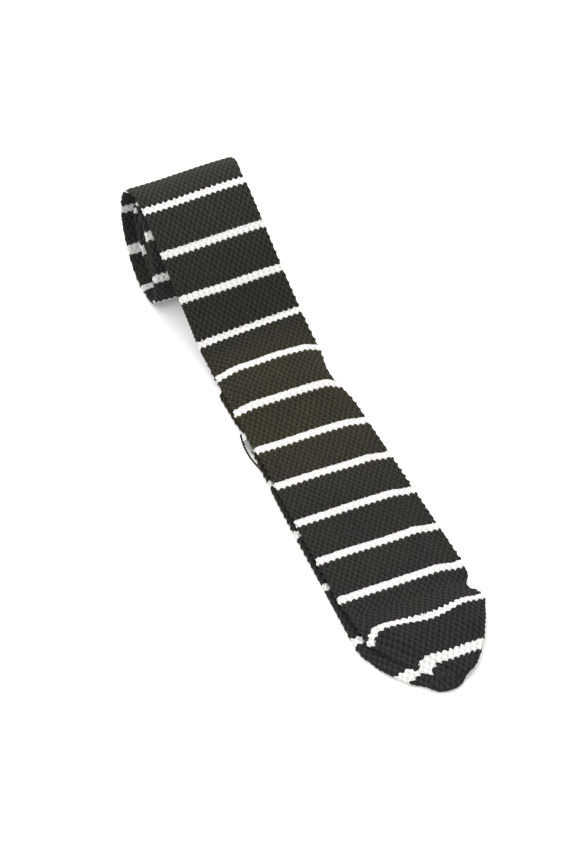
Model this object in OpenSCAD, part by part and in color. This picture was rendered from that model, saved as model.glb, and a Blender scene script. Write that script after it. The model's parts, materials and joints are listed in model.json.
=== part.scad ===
// Knitted necktie, folded in half at the neck and rolled up from the fold.
// The roll stands at the back with its axis along X.  The wide blade leaves the
// top of the roll, runs down a ramp and lies flat towards -Y, over the narrow tail.
// Units are millimetres.  The origin is on the resting surface, under the roll's axis
// and in line with the middle of the flat run.

/* [Fabric] */
// Thickness of one flattened knitted tube, blade or tail
ply_t = 2.2; // [1.6:0.1:3]
// Space between the backs of the blade and the tail, for seams and labels
ply_gap = 0.8; // [0.8:0.1:1.4]
// Space between one turn of the roll and the next
turn_gap = 0.2; // [0.2:0.1:1]

/* [Roll] */
// Radius of the roll's outer face at its crest
crest_r = 25; // [22:1:32]
// Turns of the folded tie in the roll
roll_turns = 3; // [2:0.5:3]
// Slope of the ramp between the roll and the flat run, degrees
ramp_angle = 32; // [24:1:40]
// How far the roll has settled into its flat underside
roll_sink = 0.6; // [0.3:0.1:1.5]
// How far the roll stands to the left of the flat run's middle line
roll_lead = 4; // [0:0.5:5]

/* [Blade] */
// Width of the blade at the roll
blade_w = 51; // [44:1:60]
// Width of the blade at the shoulders of its point
blade_shoulder_w = 58; // [52:1:64]
// Flat length of the blade, from the foot of the ramp to the point
blade_len = 207; // [202:1:212]
// Length of the blade's rounded point
blade_point_len = 36; // [30:1:40]

/* [Tail] */
// Width of the tail at the roll
tail_w = 44; // [36:1:48]
// Width of the tail at the shoulders of its point
tail_shoulder_w = 52; // [40:1:56]
// Flat length of the tail, from the foot of the ramp to the point
tail_len = 210; // [206:1:214]
// Length of the tail's rounded point
tail_point_len = 36; // [30:1:40]
// How far the tail's centre lies to the left of the blade's at the ramp
tail_shift = 3; // [2:0.5:5]
// How far the tail drifts further left for each millimetre of flat length
tail_drift = 0.012; // [0:0.002:0.02]

/* [Stripes] */
// Width of a white stripe
stripe_w = 4.1; // [3:0.1:5]
// Repeat of the blade's stripes in the flat run
blade_pitch = 23.4; // [22:0.1:24]
// Repeat of the blade's stripes on the ramp and over the roll's top
blade_ramp_pitch = 22.2; // [20:0.1:24]
// Repeat of the blade's stripes in the turns of the roll
blade_turn_pitch = 17.5; // [16:0.1:24]
// Distance between the last stripes towards the blade's point
blade_last_pitch = 21.8; // [18:0.1:22]
// Flat distance from the foot of the ramp to the blade's first stripe
blade_first = 11; // [9:0.5:13]
// Repeat of the tail's stripes
tail_pitch = 32; // [28:1:34]
// Flat distance from the foot of the ramp to the tail's first stripe
tail_first = 12; // [9:0.5:13]
// Distance between the last two stripes of the tail
tail_last_pitch = 26; // [22:1:28]

/* [Neck] */
// Width of the plain neck band at the heart of the roll
neck_w = 44; // [30:1:44]
// Length of neck band left beyond the last stripe of each half
neck_min = 26; // [20:1:34]

/* [Trim] */
// Width of the plain label on the blade's back
label_w = 40; // [30:1:44]
// Height of the plain label along the tie
label_h = 22; // [16:1:24]
// Distance from the foot of the ramp to the label's middle
label_v = 56; // [50:1:60]
// Thickness of the label
label_t = 0.35; // [0.25:0.05:0.35]
// Thickness of the keeper loop's cord
keeper_d = 0.8; // [0.6:0.1:0.8]
// Distance between the two ends of the keeper loop
keeper_span = 24; // [20:1:30]
// How far the keeper loop bulges beyond the blade's left edge
keeper_bulge = 2.2; // [2:0.2:4]

/* [Hidden] */

black_yarn = "#2f2d2a";
white_yarn = "#f4f4ef";
thread = "#1d1c1b";

// Fabric stack: depths are measured down from the blade's face
stack_t = 2 * ply_t + ply_gap;
turn_pitch = stack_t + turn_gap;
blade_top = 0;
blade_back = ply_t;
tail_top = ply_t + ply_gap;
tail_face = stack_t;

// Roll and ramp: the ramp is tangent to the roll's outer face
axis_z = crest_r - turn_pitch / 2 - roll_sink;
tangent_r = crest_r + turn_pitch * ramp_angle / 360;
ramp_rise = axis_z + tangent_r * cos(ramp_angle) - stack_t;
ramp_len = ramp_rise / sin(ramp_angle);
foot_y = -tangent_r * sin(ramp_angle) - ramp_len * cos(ramp_angle);
end_angle = 360 * roll_turns;

// Clearance between pieces on different bodies, and the lengths of the zones
joint_gap = 0.15;
lift_v = blade_first + blade_pitch / 2;
point_v = blade_first + 6 * blade_pitch + blade_last_pitch / 2;
arc_step = 1.6;
point_step = 2;
stripe_half = stripe_w / 2;

// The rounded points are superellipses, blunt at the end and full at the shoulders
point_blunt = 1.5;
point_full = 1.4;

// Stripe centres: v is flat distance in front of the foot, u is distance up the ramp and round the roll
blade_stripe_v = [for (i = [0:8]) blade_first + min(i, 6) * blade_pitch + max(i - 6, 0) * blade_last_pitch];
blade_u0 = blade_ramp_pitch - blade_first;
tail_u0 = tail_pitch - tail_first;
tail_stripe_v = [for (i = [0:5]) tail_first + i * tail_pitch];
tail_last_v = tail_stripe_v[5] + tail_last_pitch;
blade_u_end = path_len((blade_top + blade_back) / 2);
tail_u_end = path_len((tail_top + tail_face) / 2);
blade_count = floor((blade_u_end - neck_min - blade_u(4)) / blade_turn_pitch) + 5;
tail_count = floor((tail_u_end - neck_min - tail_u0) / tail_pitch) + 1;
blade_neck_u = blade_u(blade_count - 1) + stripe_half;
tail_neck_u = tail_u0 + (tail_count - 1) * tail_pitch + stripe_half;
blade_outer_count = 10;
tail_outer_count = 6;

// Seam stitches on the backs
stitch_len = 2;
stitch_w = 0.6;
stitch_t = 0.25;
stitch_lift = 0.1;
stitch_pitch = 4;

// Distance up the ramp and round the roll of the blade's stripe i
function blade_u(i) = blade_u0 + min(i, 4) * blade_ramp_pitch + max(i - 4, 0) * blade_turn_pitch;

// Length of path up to the fold at the neck, along a surface at the given depth
function path_len(depth) = ramp_len + arc_len(end_angle + ramp_angle, tangent_r - depth);

// Length of the spiral over a sweep of degrees from the tangent point, and its inverse
function arc_len(sweep, r0) = PI / 180 * (r0 * sweep - turn_pitch / 720 * sweep * sweep);
function arc_sweep(len, r0) =
    (r0 - sqrt(r0 * r0 - turn_pitch / 180 * len * 180 / PI)) * 360 / turn_pitch;

// Point in the Y-Z plane on the roll, a degrees past the crest, at a depth
function roll_pt(a, depth) =
    let (r = crest_r - turn_pitch * a / 360 - depth, turn = max(0, floor(a / 360)))
    [r * sin(a), max(axis_z + r * cos(a), depth + turn * turn_pitch)];

// Point on the ramp, u from its foot, at a depth
function ramp_pt(u, depth) = [
    foot_y + u * cos(ramp_angle) + depth * sin(ramp_angle),
    stack_t + u * sin(ramp_angle) - depth * cos(ramp_angle)
];

// Point on the mitre plane between the ramp and the flat run, moved along by shift
function mitre_pt(shift, depth) = [foot_y + depth * tan(ramp_angle / 2) + shift, stack_t - depth];

// Point on the path, where mid is the depth that lengths are measured at
function path_pt(u, depth, mid) =
    u <= ramp_len
        ? ramp_pt(u, depth)
        : roll_pt(arc_sweep(u - ramp_len, tangent_r - mid) - ramp_angle, depth);

// Points along a stretch of the path at a depth
function path_run(u0, u1, depth, mid) =
    let (n = ceil((u1 - u0) / arc_step))
    [for (i = [0:n]) path_pt(u0 + (u1 - u0) * i / n, depth, mid)];

// Sideways place of the tie's middle line on the ramp and in the roll
function lead_x(u) = -roll_lead * min(1, u / (ramp_len + arc_len(ramp_angle, tangent_r)));

function reversed(list) = [for (i = [len(list) - 1:-1:0]) list[i]];

// Half widths of the flat blade and tail at v, with their rounded points
function point_half(half, length, to_end) =
    half * pow(1 - pow(max(0, 1 - max(0, to_end) / length), point_full), 1 / point_blunt);
function blade_half(v) =
    v < blade_len - blade_point_len
        ? (blade_w + (blade_shoulder_w - blade_w) * v / (blade_len - blade_point_len)) / 2
        : point_half(blade_shoulder_w / 2, blade_point_len, blade_len - v);
function tail_half(v) =
    v < tail_len - tail_point_len
        ? (tail_w + (tail_shoulder_w - tail_w) * v / (tail_len - tail_point_len)) / 2
        : point_half(tail_shoulder_w / 2, tail_point_len, tail_len - v);
function tail_x(v) = -tail_shift - tail_drift * v;

// A profile in the Y-Z plane, extruded across the tie about a centre x
module across(width, center_x) {
    translate([center_x - width / 2, 0, 0])
        rotate([90, 0, 90])
            linear_extrude(height = width)
                children();
}

// One band of cloth on the ramp or in the roll, between two depths
module path_band(u0, u1, outer, inner, width, shift_x) {
    mid = (outer + inner) / 2;
    across(width, lead_x((u0 + u1) / 2) + shift_x)
        polygon(concat(path_run(u0, u1, outer, mid), reversed(path_run(u0, u1, inner, mid))));
}

// The first band on either side of the mitre at the foot of the ramp
module ramp_foot_band(u1, outer, inner, width, center_x) {
    across(width, center_x)
        polygon([
            mitre_pt(joint_gap, outer),
            ramp_pt(u1, outer),
            ramp_pt(u1, inner),
            mitre_pt(joint_gap, inner)
        ]);
}

module flat_foot_band(v1, outer, inner, width, center_x) {
    across(width, center_x)
        polygon([
            mitre_pt(-joint_gap, outer),
            mitre_pt(-joint_gap, inner),
            [foot_y - v1, stack_t - inner],
            [foot_y - v1, stack_t - outer]
        ]);
}

// One flat band of the blade or the tail, drawn in plan and given its thickness
module blade_band(v0, v1) {
    n = v1 <= blade_len - blade_point_len ? 1 : ceil((v1 - v0) / point_step);
    vs = [for (i = [0:n]) v0 + (v1 - v0) * i / n];
    right = [for (v = vs) [blade_half(v), foot_y - v]];
    left = [for (v = reversed(vs)) if (blade_half(v) > 0) [-blade_half(v), foot_y - v]];
    translate([0, 0, stack_t - blade_back])
        linear_extrude(height = ply_t)
            polygon(concat(right, left));
}

module tail_band(v0, v1) {
    n = v1 <= tail_len - tail_point_len ? 1 : ceil((v1 - v0) / point_step);
    vs = [for (i = [0:n]) v0 + (v1 - v0) * i / n];
    right = [for (v = vs) [tail_x(v) + tail_half(v), foot_y - v]];
    left = [for (v = reversed(vs)) if (tail_half(v) > 0) [tail_x(v) - tail_half(v), foot_y - v]];
    linear_extrude(height = ply_t)
        polygon(concat(right, left));
}

// Bands of the blade in the roll, numbered from the foot of the ramp
module blade_roll_black(first, last) {
    for (i = [first:last]) {
        if (i == 0)
            ramp_foot_band(blade_u(0) - stripe_half, blade_top, blade_back, blade_w, 0);
        else
            path_band(blade_u(i - 1) + stripe_half, blade_u(i) - stripe_half,
                blade_top, blade_back, blade_w, 0);
    }
}

module blade_roll_white(first, last) {
    for (i = [first:last]) {
        path_band(blade_u(i) - stripe_half, blade_u(i) + stripe_half, blade_top, blade_back, blade_w, 0);
    }
}

// Bands of the tail in the roll, numbered from the foot of the ramp
module tail_roll_black(first, last) {
    for (i = [first:last]) {
        stripe_u = tail_u0 + i * tail_pitch;
        if (i == 0)
            ramp_foot_band(stripe_u - stripe_half, tail_top, tail_face, tail_w, -tail_shift);
        else
            path_band(stripe_u - tail_pitch + stripe_half, stripe_u - stripe_half,
                tail_top, tail_face, tail_w, -tail_shift);
    }
}

module tail_roll_white(first, last) {
    for (i = [first:last]) {
        stripe_u = tail_u0 + i * tail_pitch;
        path_band(stripe_u - stripe_half, stripe_u + stripe_half, tail_top, tail_face, tail_w, -tail_shift);
    }
}

module roll_blade_outer_black() {
    color(black_yarn) blade_roll_black(0, blade_outer_count - 1);
}

module roll_blade_outer_white() {
    color(white_yarn) blade_roll_white(0, blade_outer_count - 1);
}

module roll_blade_inner_black() {
    color(black_yarn) blade_roll_black(blade_outer_count, blade_count - 1);
}

module roll_blade_inner_white() {
    color(white_yarn) blade_roll_white(blade_outer_count, blade_count - 1);
}

module roll_tail_outer_black() {
    color(black_yarn) tail_roll_black(0, tail_outer_count - 1);
}

module roll_tail_outer_white() {
    color(white_yarn) tail_roll_white(0, tail_outer_count - 1);
}

module roll_tail_inner_black() {
    color(black_yarn) tail_roll_black(tail_outer_count, tail_count - 1);
}

module roll_tail_inner_white() {
    color(white_yarn) tail_roll_white(tail_outer_count, tail_count - 1);
}

// The plain middle of the tie: both layers near the heart of the roll and the fold that joins them
module neck_band() {
    blade_mid = (blade_top + blade_back) / 2;
    tail_mid = (tail_top + tail_face) / 2;
    fold_r = crest_r - turn_pitch * roll_turns - stack_t / 2;
    fold_y = fold_r * sin(end_angle);
    fold_z = axis_z + fold_r * cos(end_angle);
    outer_fold = [for (t = [10:10:170]) fold_pt(stack_t / 2, t, fold_y, fold_z)];
    inner_fold = [for (t = [150:-30:30]) fold_pt(ply_gap / 2, t, fold_y, fold_z)];
    color(black_yarn)
        across(neck_w, -roll_lead)
            polygon(concat(
                path_run(blade_neck_u, blade_u_end, blade_top, blade_mid),
                outer_fold,
                reversed(path_run(tail_neck_u, tail_u_end, tail_face, tail_mid)),
                path_run(tail_neck_u, tail_u_end, tail_top, tail_mid),
                inner_fold,
                reversed(path_run(blade_neck_u, blade_u_end, blade_back, blade_mid))
            ));
}

// Point on the neck fold, t degrees round from the blade's side
function fold_pt(r, t, y, z) = [
    y + r * sin(end_angle + t),
    z + r * cos(end_angle + t)
];

// Overcast stitches on the back, where each half of the tie is joined to the neck band
module neck_join_stitches() {
    color(thread) {
        path_band(blade_neck_u - stitch_w, blade_neck_u + stitch_w,
            blade_back + stitch_lift, blade_back + stitch_t, neck_w - 2, 0);
        path_band(tail_neck_u - stitch_w, tail_neck_u + stitch_w,
            tail_top - stitch_t, tail_top - stitch_lift, neck_w - 2, 0);
    }
}

module blade_foot_black() {
    color(black_yarn) {
        flat_foot_band(blade_first - stripe_half, blade_top, blade_back, blade_w, 0);
        blade_band(blade_first + stripe_half, lift_v - joint_gap);
    }
}

module blade_foot_white() {
    color(white_yarn) blade_band(blade_first - stripe_half, blade_first + stripe_half);
}

module tail_front_black() {
    color(black_yarn) {
        flat_foot_band(tail_first - stripe_half, tail_top, tail_face, tail_w, -tail_shift);
        for (i = [0:4])
            tail_band(tail_stripe_v[i] + stripe_half, tail_stripe_v[i + 1] - stripe_half);
    }
}

module tail_front_white() {
    color(white_yarn)
        for (i = [0:4])
            tail_band(tail_stripe_v[i] - stripe_half, tail_stripe_v[i] + stripe_half);
}

module tail_point_black() {
    color(black_yarn) {
        tail_band(tail_stripe_v[5] + stripe_half, tail_last_v - stripe_half);
        tail_band(tail_last_v + stripe_half, tail_len);
    }
}

module tail_point_white() {
    color(white_yarn)
        for (v = [tail_stripe_v[5], tail_last_v])
            tail_band(v - stripe_half, v + stripe_half);
}

// The blade between its hinge line and that of its point
module blade_front_black() {
    color(black_yarn) {
        blade_band(lift_v + joint_gap, blade_stripe_v[1] - stripe_half);
        for (i = [1:5])
            blade_band(blade_stripe_v[i] + stripe_half, blade_stripe_v[i + 1] - stripe_half);
        blade_band(blade_stripe_v[6] + stripe_half, point_v - joint_gap);
    }
}

module blade_front_white() {
    color(white_yarn)
        for (i = [1:6])
            blade_band(blade_stripe_v[i] - stripe_half, blade_stripe_v[i] + stripe_half);
}

module blade_point_black() {
    color(black_yarn) {
        blade_band(point_v + joint_gap, blade_stripe_v[7] - stripe_half);
        blade_band(blade_stripe_v[7] + stripe_half, blade_stripe_v[8] - stripe_half);
        blade_band(blade_stripe_v[8] + stripe_half, blade_len);
    }
}

module blade_point_white() {
    color(white_yarn)
        for (i = [7, 8])
            blade_band(blade_stripe_v[i] - stripe_half, blade_stripe_v[i] + stripe_half);
}

// A flat run of stitches down the middle of a back, between two distances from the foot
module stitch(x, v, z, across_w, along) {
    translate([x - across_w / 2, foot_y - v - along / 2, z])
        cube([across_w, along, stitch_t]);
}

module blade_back_seam() {
    label_clear = label_h / 2 + stitch_len;
    color(thread)
        for (v = [lift_v + stitch_pitch:stitch_pitch:point_v - stitch_pitch])
            if (abs(v - label_v) > label_clear)
                stitch(0, v, tail_top_z() - stitch_t, stitch_w, stitch_len);
}

// Height of the blade's back above the resting surface in the flat run
function tail_top_z() = ply_t + ply_gap;

module tail_back_seam() {
    color(thread)
        for (v = [2 * stitch_pitch:stitch_pitch:tail_len - tail_point_len])
            stitch(tail_x(v), v, ply_t, stitch_w, stitch_len);
}

module blade_point_tack() {
    color(thread)
        for (i = [0:2])
            stitch(0, blade_len - blade_point_len + 3 + i * 1.5, tail_top_z() - stitch_t, 5, 0.8);
}

module tail_point_tack() {
    v0 = tail_len - tail_point_len + 3;
    color(thread)
        for (i = [0:2])
            stitch(tail_x(v0), v0 + i * 1.5, ply_t, 5, 0.8);
}

// Plain woven label laid across the blade's back
module plain_label() {
    color("white")
        translate([-label_w / 2, foot_y - label_v - label_h / 2, tail_top_z() - label_t])
            cube([label_w, label_h, label_t]);
}

// One tack over each corner of the label
module label_stitches() {
    tack = 3;
    tack_t = 0.1;
    color(thread)
        for (side = [-1, 1], row = [-1, 1])
            translate([
                side * (label_w / 2 - tack) - tack / 2,
                foot_y - label_v + row * (label_h / 2 - 1) - stitch_w / 2,
                tail_top_z() - label_t - tack_t
            ])
                cube([tack, stitch_w, tack_t]);
}

// Small care tab, its free end just past the blade's left edge
module care_label() {
    tab_h = 9;
    tab_t = 0.2;
    tab_start = label_w / 2 + 0.2;
    tab_end = keeper_x() + 1.4;
    color("white")
        translate([-tab_end, foot_y - label_v - tab_h / 2, tail_top_z() - label_t])
            cube([tab_end - tab_start, tab_h, tab_t]);
}

// Distance from the tie's middle to the keeper loop's swing axis
function keeper_x() = blade_half(label_v + keeper_span / 2) + joint_gap + keeper_d / 2;
function keeper_z() = ply_t + joint_gap + keeper_d / 2;

// The two bar tacks that hold the keeper loop to the blade's back
module keeper_tacks() {
    tack_l = 3;
    tack_w = 1.6;
    color(thread)
        for (row = [-1, 1])
            translate([
                -keeper_x() + keeper_d / 2 + joint_gap,
                foot_y - label_v + row * keeper_span / 2 - tack_w / 2,
                tail_top_z() - stitch_t
            ])
                cube([tack_l, tack_w, stitch_t]);
}

// Thread loop, one shallow arc of round cord that bulges past the blade's left edge
module keeper_loop() {
    half_span = keeper_span / 2;
    loop_r = (half_span * half_span + keeper_bulge * keeper_bulge) / (2 * keeper_bulge);
    half_angle = asin(half_span / loop_r);
    color(thread)
        translate([-keeper_x() - keeper_bulge + loop_r, foot_y - label_v, keeper_z()])
            rotate([0, 0, 180 - half_angle])
                rotate_extrude(angle = 2 * half_angle, $fn = 64)
                    translate([loop_r, 0])
                        circle(d = keeper_d, $fn = 24);
}

roll_blade_outer_black();
roll_blade_outer_white();
roll_blade_inner_black();
roll_blade_inner_white();
roll_tail_outer_black();
roll_tail_outer_white();
roll_tail_inner_black();
roll_tail_inner_white();
neck_band();
neck_join_stitches();
blade_foot_black();
blade_foot_white();
tail_front_black();
tail_front_white();
tail_point_black();
tail_point_white();
tail_back_seam();
tail_point_tack();
blade_front_black();
blade_front_white();
blade_point_black();
blade_point_white();
blade_back_seam();
blade_point_tack();
plain_label();
label_stitches();
care_label();
keeper_tacks();
keeper_loop();
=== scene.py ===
"""Looks of the rolled knitted necktie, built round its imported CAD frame.

Lengths are in mm until a mesh is made. The tie is drawn on a path: w is the distance along it from the
foot of the ramp, negative on the flat run and positive up the ramp and round the roll. v is -w.
"""

import json
import math

import bpy
import numpy as np
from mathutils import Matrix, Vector


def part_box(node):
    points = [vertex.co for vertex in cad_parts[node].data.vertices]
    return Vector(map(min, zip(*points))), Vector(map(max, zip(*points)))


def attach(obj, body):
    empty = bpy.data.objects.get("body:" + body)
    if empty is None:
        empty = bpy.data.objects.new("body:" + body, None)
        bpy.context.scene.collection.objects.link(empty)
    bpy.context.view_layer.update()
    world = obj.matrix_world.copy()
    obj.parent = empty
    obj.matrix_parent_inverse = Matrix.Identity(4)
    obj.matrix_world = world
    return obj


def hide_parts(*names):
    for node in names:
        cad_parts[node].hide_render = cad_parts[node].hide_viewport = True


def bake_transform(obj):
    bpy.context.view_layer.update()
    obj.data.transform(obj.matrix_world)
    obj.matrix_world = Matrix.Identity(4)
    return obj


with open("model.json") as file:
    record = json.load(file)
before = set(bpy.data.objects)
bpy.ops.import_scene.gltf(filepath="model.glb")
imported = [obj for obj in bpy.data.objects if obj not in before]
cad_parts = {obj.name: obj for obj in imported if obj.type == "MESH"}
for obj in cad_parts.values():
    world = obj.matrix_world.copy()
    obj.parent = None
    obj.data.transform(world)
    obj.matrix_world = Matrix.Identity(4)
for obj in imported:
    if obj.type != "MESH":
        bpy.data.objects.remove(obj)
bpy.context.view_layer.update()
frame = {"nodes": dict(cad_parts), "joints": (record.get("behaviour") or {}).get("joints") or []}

MM = 0.001
JOINTS = {j["name"]: j for j in frame["joints"]}

# ---------------------------------------------------------------- the frame's sizes
# One tube's thickness, the gap between tubes, and how much the roll grows in a turn
PLY = 2.2
GAP = 0.8
TURN = 5.4
STACK = 2 * PLY + GAP
CREST_R = 25.0
RAMP_DEG = 32.0
AXIS_Z = CREST_R - TURN / 2 - 0.6
TANGENT_R = CREST_R + TURN * RAMP_DEG / 360
FOOT_Y = JOINTS["ramp_fold"]["pos_m"][1] / MM
BLADE_LEN = FOOT_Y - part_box("blade_point_black")[0].y / MM
TAIL_LEN = FOOT_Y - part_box("tail_point_black")[0].y / MM
RAMP_COS = math.cos(math.radians(RAMP_DEG))
RAMP_SIN = math.sin(math.radians(RAMP_DEG))
RAMP_LEN = (AXIS_Z + TANGENT_R * RAMP_COS - STACK) / RAMP_SIN
BLADE_MID = PLY / 2
TAIL_MID = PLY + GAP + PLY / 2
TURNS_DEG = 3 * 360.0

# The stripes' middles: V on the flat run, U on the ramp and in the roll
STRIPE = 4.1
BLADE_V = [11 + 23.4 * i for i in range(7)] + [173.2, 195.0]
BLADE_U = [11.2 + 22.2 * min(i, 4) + 17.5 * max(i - 4, 0) for i in range(19)]
TAIL_V = [12 + 32.0 * i for i in range(6)] + [198.0]
TAIL_U = [20 + 32.0 * i for i in range(9)]

# The knit: repeat across and along, height of a stitch, row spacing of the mesh, half a tube's thickness
WALE = 2.7
COURSE = 3.9
KNIT = 0.46
ROW = 0.39
BODY_T = 0.86


def smooth(t):
    t = np.clip(t, 0.0, 1.0)
    return t * t * (3 - 2 * t)


def hill(v, a, b, c, d):
    """0 before a, 1 from b to c, 0 after d."""
    return smooth((v - a) / (b - a)) * (1 - smooth((v - c) / (d - c)))


# ---------------------------------------------------------------- outlines, x against v
def bell(v, middle, spread):
    """1 at the middle, falling away smoothly on both sides."""
    return np.exp(-((v - middle) / spread) ** 2)


def point(v, start, length, shoulder, apex, full, blunt):
    """Side of a rounded point that leaves its shoulder at start and closes at its apex."""
    t = np.clip((v - start) / (length - start), 0, 1)
    return np.where(v < start, 0.0, apex + (shoulder - apex) * (1 - t ** full) ** blunt - shoulder)


def blade_right(v):
    """The right edge, drawn in beside the ramp's foot and before the point."""
    side = np.interp(v, [0, 45, 150, 174], [25.3, 27.6, 30.0, 28.3])
    nips = 3.4 * bell(v, 27, 11) + 2.9 * bell(v, 163, 4)
    return side - nips + point(v, 174, BLADE_LEN, 28.3, 2.8, 1.2, 0.6)


def blade_left(v):
    """The left edge, drawn in beside the keeper loop."""
    side = np.interp(v, [0, 34, 42, 70, 80, 151, 172], [-25.5, -26.8, -26.3, -26.0, -26.6, -28.2, -26.6])
    return side + point(v, 172, BLADE_LEN, -26.6, 2.4, 1.25, 0.8)


def tail_left(v):
    """The left edge, drawn in under the blade at its first two stripes."""
    side = np.interp(v, [0, 14.4, 16.5, 36, 43, 52, 88, 177],
                     [-24.2, -24.4, -26.6, -26.4, -25.5, -26.3, -28.4, -30.9])
    return side + point(v, 177, TAIL_LEN, -30.9, -4.4, 1.3, 0.58)


def tail_right(v):
    """The right edge, hidden under the blade."""
    side = np.interp(v, [0, 174], [19.0, 20.8])
    return side + point(v, 174, TAIL_LEN, 20.8, -2.6, 1.77, 0.6)


# How far the roll stands to the left of the flat run, and over what length of path it gets there
ROLL_LEAD = 4.4
LEAD_RUN = 90.0
# The tail and the inner turns stand back from the roll's left end
RECESS = 4.6
# Widths of the blade on the ramp and of the neck band
BLADE_WIDTH = 51.0
NECK_WIDTH = 44.0


def lead(w):
    """The step to the left along the ramp."""
    return -ROLL_LEAD * np.clip(w / LEAD_RUN, 0, 1)


def wander(w, side):
    """How the two ends of the roll step in and out from turn to turn."""
    k = smooth((w - 120) / 60)
    return k * (0.7 * np.sin(w / 19.0 + side) + 0.4 * np.sin(w / 8.3 + 2 * side))


def blade_edges(w):
    """Left and right edges at w."""
    return (blade_left(-w) + lead(w) + wander(w, 0.3) + RECESS * smooth((w - 212) / 26),
            blade_right(-w) + lead(w) + wander(w, 1.7) + 1.8 * hill(w, 80, 94, 108, 132))


def tail_edges(w):
    """Left and right edges at w."""
    return (tail_left(-w) + lead(w) + wander(w, 2.6) + RECESS * smooth((w - 66) / 22),
            tail_right(-w) + lead(w) + wander(w, 4.1))


# ---------------------------------------------------------------- the path, seen from its side
def arc_sweep(length, r0):
    """Degrees swept by that length of a spiral that starts at radius r0 and closes by TURN each turn."""
    return (r0 - np.sqrt(np.maximum(r0 * r0 - TURN * length / math.pi, 0.0))) * 360 / TURN


def landing(x):
    """Where the ramp lands on the flat run, further forward on the right, and its slope."""
    y_f = np.interp(x, [-30, 28], [-71.0, -80.0])
    rise = AXIS_Z - STACK
    reach = np.hypot(y_f, rise)
    theta = np.arcsin(TANGENT_R / reach) + np.arctan2(rise, -y_f)
    return y_f, theta


def stripe_scale(w):
    """The white stripes draw in where the tie bends, and spread where it lies free."""
    return np.interp(-w, [-95, -78, -44, -11, 11, 50, 160, 173, 195],
                     [1, 0.88, 1.0, 0.88, 0.93, 1.05, 1.03, 0.87, 1.12])


# How softly the ramp lands, and the angle of the roll where it meets the roll's top
FOOT_SOFT = 1.5
MEET_DEG = 38


def ramp_z(y, y_f, theta):
    """Height of the blade's face on the flat run and the ramp."""
    t = (y - y_f) * np.tan(theta) / FOOT_SOFT
    return STACK + FOOT_SOFT * np.logaddexp(0.0, t)


def round_top(y):
    """Height of the roll's outermost turn over y."""
    return AXIS_Z + np.sqrt(np.maximum(TANGENT_R ** 2 - y ** 2, 0))


def base(x, w, mid):
    """A point of the tie's face, at depth 0, for a layer whose lengths are measured at depth mid."""
    y = np.where(w < 0, FOOT_Y + w, FOOT_Y + w * RAMP_COS)
    y_f, theta = landing(x)
    z_line = ramp_z(y, y_f, theta)
    a = arc_sweep(np.maximum(w - RAMP_LEN, 0), TANGENT_R - mid) - RAMP_DEG
    r = CREST_R - TURN * a / 360
    rad = np.radians(a)
    y_roll = r * np.sin(rad)
    turn = np.maximum(0, np.floor(a / 360))
    z_roll = np.maximum(AXIS_Z + r * np.cos(rad), turn * TURN)
    z_own = np.minimum(ramp_z(y_roll, y_f, theta), round_top(y_roll))
    k = smooth((y_roll + 3) / -8.0) * (a < 0)
    z_roll = z_roll * (1 - k) + z_own * k
    rolled = w > RAMP_LEN
    before_roll = y < -TANGENT_R * math.sin(math.radians(MEET_DEG))
    on_line = np.where(before_roll, z_line, np.minimum(z_line, round_top(np.minimum(y, 0))))
    return np.stack([x + 0 * w, np.where(rolled, y_roll, y), np.where(rolled, z_roll, on_line)], -1)


# Heights of the blade's swell, of the fold across its point, of the tail's puffed point and of ripples
HUMP = 5.0
TIP_FOLD = 3.6
TAIL_PUFF = 1.3
RIPPLE = 0.22


def hump(x, w):
    """The blade's free swell just past the ramp, lower at its right edge."""
    v = -w
    a = HUMP * hill(v, -14, 8, 22, 56)
    flank = np.interp(v, [0, 14, 34], [-32, -31, -34])
    peak = np.exp(-((x - np.interp(v, [0, 10, 34], [-2, 3, 10])) / 9.0) ** 2)
    return a * (smooth((x - flank) / 18.0) * (1 - 0.6 * smooth((x - 17) / 10.0)) + 0.12 * peak)


def blade_lift_field(x, w):
    """The blade's height above its settled one: its swell, low edges and the fold at its point."""
    v = -w
    dz = hump(x, w)
    dz = dz - 2.1 * smooth((x - 17) / 10.0) * hill(v, 8, 40, 190, 206)
    left = blade_left(-w)
    inside = smooth((x - left) / 9.0)
    dz = dz - 1.2 * (1 - inside) * smooth((v - 166) / 12)
    dz = dz - 1.1 * smooth((v - 198) / 9.0) - 1.5 * smooth((x - 5) / 12.0) * smooth((v - 184) / 8.0)
    fold = TIP_FOLD * hill(v, 161, 178, 181, 202) * (0.25 + 0.75 * inside)
    dip = -1.0 * np.exp(-((v - 160) / 5.0) ** 2) * smooth((x - 6) / 16.0)
    return dz + fold + dip + ripple(x, w)


def tail_lift_field(x, w):
    """The tail's point puffs up under the edge of the blade's."""
    v = -w
    left = tail_left(-w)
    right = tail_right(-w)
    puff = smooth((x - left) / 9.0) * smooth((right - x) / 9.0)
    return TAIL_PUFF * puff * hill(v, 166, 184, 203, 210)


def ripple(x, w):
    """Shallow unevenness of cloth that lies free."""
    return RIPPLE * hill(-w, -60, -20, 190, 205) * (
        np.sin(x / 9.0 + w / 23.0) * np.cos(w / 14.0 - x / 17.0) + 0.5 * np.sin(w / 8.0 + x / 6.0 + 1.2))


# The roll's lean: its angle, and how far its foot slides forward and to the left
LEAN_DEG = 14
FOOT_FORWARD = 15.0
FOOT_SIDE = 3.4
# How much taller the roll stands at its right end and at its back, out of its height
RIGHT_RISE = 2.4
BACK_RISE = 1.3
ROLL_TALL = 46.0


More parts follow.
